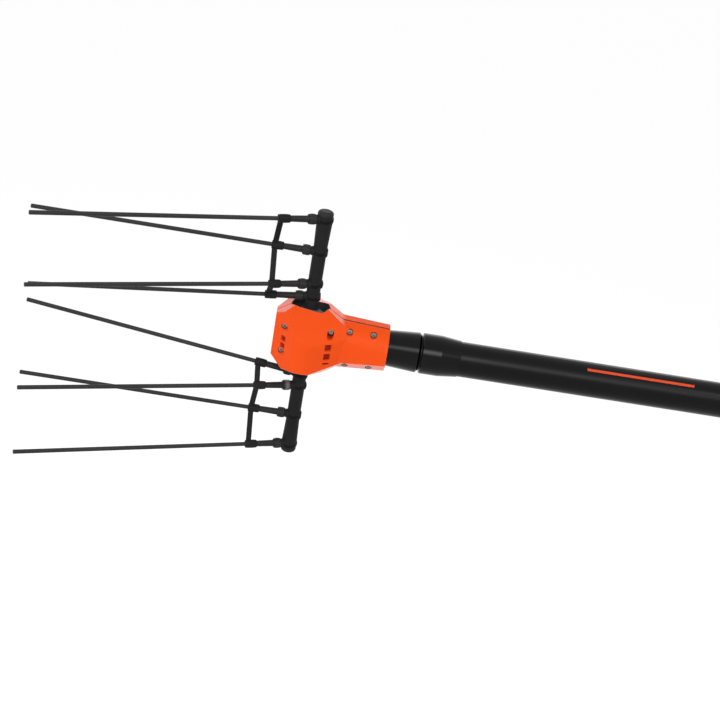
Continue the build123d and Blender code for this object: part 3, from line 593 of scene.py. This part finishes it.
def button_gaiter():
    """Soft bead round the push button: an oval carried round a circle on the pad."""
    t, turn = grid(loop(24), loop(96))
    radius = GAITER_RADIUS + GAITER_HALF_WIDE * np.cos(t)
    z = PAD_TOP + GAITER_RISE + GAITER_HALF_TALL * np.sin(t)
    points = np.stack([BUTTON_X + radius * np.cos(turn), radius * np.sin(turn), z], axis=-1)
    surface("button_gaiter", points[::-1], "soft_rubber", "pole", closed_u=True,
            closed_v=True)


def button_spring():
    """Coil spring under the button: a round wire carried up a helix and tapered shut at both ends.
    """
    t, turn = grid(np.linspace(0, 1, 253), loop(12))
    angle = 2 * np.pi * SPRING_TURNS * t
    wire = SPRING_WIRE * np.sqrt(np.clip(1 - (2 * t - 1) ** 200, 0.0, 1.0))
    radius = SPRING_RADIUS + wire * np.cos(turn)
    tall = SPRING_TOP - SPRING_FOOT
    margin = SPRING_WIRE + SPRING_GAP
    z = SPRING_FOOT + margin + (tall - 2 * margin) * t + wire * np.sin(turn)
    points = np.stack([BUTTON_X + radius * np.cos(angle), radius * np.sin(angle), z], axis=-1)
    piece = surface("button_spring", points, "machined_steel", "pole", closed_v=True)
    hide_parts("switch_spring")
    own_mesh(piece)


def pole_stripe(name, low, high):
    """Plain stripe along the top of the pole: a band of the round whose rims sink below the paint."""
    u, v = grid(np.linspace(-1, 1, 61), np.linspace(-1, 1, 25))
    angle = np.radians((low + high) / 2 + (high - low) / 2 * v)
    radius = POLE_RADIUS + STRIPE_PROUD - STRIPE_RIM_DROP * np.maximum(np.abs(u) ** 60, v ** 16)
    x = STRIPE_MIDDLE + STRIPE_HALF_LONG * u
    points = np.stack([x, -radius * np.cos(angle), radius * np.sin(angle)], axis=-1)
    surface(f"pole_stripe_{name}", points + HEAD, "pole_stripe", "pole")


joint_shade_seal("top", "near")
joint_shade_seal("low", "far")
for stripe in STRIPES:
    pole_stripe(*stripe)
for side in ENDS:
    for number, height in enumerate(TINE_HEIGHTS, 1):
        arm_shade_band(side, number, height)
        collar_nut(side, number)
        clip_barrel(side, number)
for number, screw in enumerate(SCREWS, 1):
    screw_shade_ring(number, *screw)
deep_screw_plug(*DEEP_SCREW)
grip_sleeve()
button_gaiter()
button_spring()
for vent in VENTS:
    vent_shade_gauze(*vent, "near")
    vent_shade_gauze(*vent, "far")


def seen_rays(tree):
    """One for rays that show the backdrop: from the camera, off a polished piece or through a clear one."""
    path = tree.nodes.new("ShaderNodeLightPath")
    seen = sums(tree, "MAXIMUM", path.outputs["Is Camera Ray"], path.outputs["Is Glossy Ray"])
    return sums(tree, "MAXIMUM", seen, path.outputs["Is Transmission Ray"])


def floor_material():
    """Plain pale floor: nearly white to the eye with a trace of shade, grey to the light it throws back."""
    grey, shade = 0.8, 0.1
    material, tree, shader = tree_of("pale_floor")
    seen = seen_rays(tree)
    tree.links.new(spread(tree, seen, grey, shade, 0.0, 1.0), shader.inputs["Base Color"])
    tree.links.new(sums(tree, "MULTIPLY", seen, FLOOR_GLOW), shader.inputs["Emission Strength"])
    shader.inputs["Emission Color"].default_value = (1.0, 1.0, 1.0, 1.0)
    shader.inputs["Roughness"].default_value = 0.9
    shader.inputs["Specular IOR Level"].default_value = 0.0
    return material


def floor():
    """A plain pale floor well below the tool."""
    mesh = bpy.data.meshes.new("floor")
    corners = [(x * FLOOR_HALF, y * FLOOR_HALF, FLOOR_Z) for x, y in ((-1, -1), (1, -1), (1, 1), (-1, 1))]
    mesh.from_pydata(corners, [], [(0, 1, 2, 3)])
    mesh.materials.append(floor_material())
    piece = bpy.data.objects.new("floor", mesh)
    scene.collection.objects.link(piece)


def lamp(name, stand, aim, size, power):
    """A soft rectangular lamp aimed at a point."""
    light = bpy.data.lights.new(name, "AREA")
    light.shape = "RECTANGLE"
    light.size, light.size_y = size
    light.energy = power
    piece = bpy.data.objects.new(name, light)
    scene.collection.objects.link(piece)
    piece.visible_camera = False
    piece.location = stand
    piece.rotation_euler = (Vector(aim) - Vector(stand)).to_track_quat("-Z", "Y").to_euler()


def surround():
    """The pale surround: soft patches of light added up, and plain white where it is seen."""
    world = bpy.data.worlds.new("surround")
    scene.world = world
    world.use_nodes = True
    tree = world.node_tree
    background = tree.nodes["Background"]
    background.inputs["Color"].default_value = (1.0, 1.0, 1.0, 1.0)
    where = tree.nodes.new("ShaderNodeTexCoord")
    total = None
    for middle, narrow, bright in SURROUND:
        along = tree.nodes.new("ShaderNodeVectorMath")
        along.operation = "DOT_PRODUCT"
        along.inputs[1].default_value = middle
        tree.links.new(where.outputs["Generated"], along.inputs[0])
        patch = sums(tree, "POWER", sums(tree, "MAXIMUM", along.outputs["Value"], 0.0), narrow)
        patch = sums(tree, "MULTIPLY", patch, bright)
        total = patch if total is None else sums(tree, "ADD", total, patch)
    tree.links.new(sums(tree, "MAXIMUM", total, seen_rays(tree)), background.inputs["Strength"])


def camera():
    """The camera of the photograph, turned, raised and rolled about the head."""
    turn, rise, roll = (math.radians(angle) for angle in (CAMERA_TURN, CAMERA_RISE, CAMERA_ROLL))
    back = np.array([math.sin(turn) * math.cos(rise), -math.cos(turn) * math.cos(rise), math.sin(rise)])
    level = np.array([math.cos(turn), math.sin(turn), 0.0])
    plumb = np.cross(-back, level)
    right = math.cos(roll) * level + math.sin(roll) * plumb
    down = math.cos(roll) * plumb - math.sin(roll) * level
    across_px, down_px = HEAD_ACROSS_PX - PICTURE_PX / 2, HEAD_DOWN_PX - PICTURE_PX / 2
    eye = HEAD - CAMERA_DISTANCE * (right * across_px / LENS_PX + down * down_px / LENS_PX - back)
    data = bpy.data.cameras.new("camera")
    data.sensor_width = SENSOR_MM
    data.lens = LENS_PX / PICTURE_PX * SENSOR_MM
    data.clip_end = 60.0
    piece = bpy.data.objects.new("camera", data)
    scene.collection.objects.link(piece)
    stand = np.eye(4)
    stand[:3] = np.stack([right, -down, back, eye], axis=-1)
    piece.matrix_world = Matrix(stand.tolist())
    scene.camera = piece


floor()
for studio_lamp in LAMPS:
    lamp(*studio_lamp)
surround()
camera()
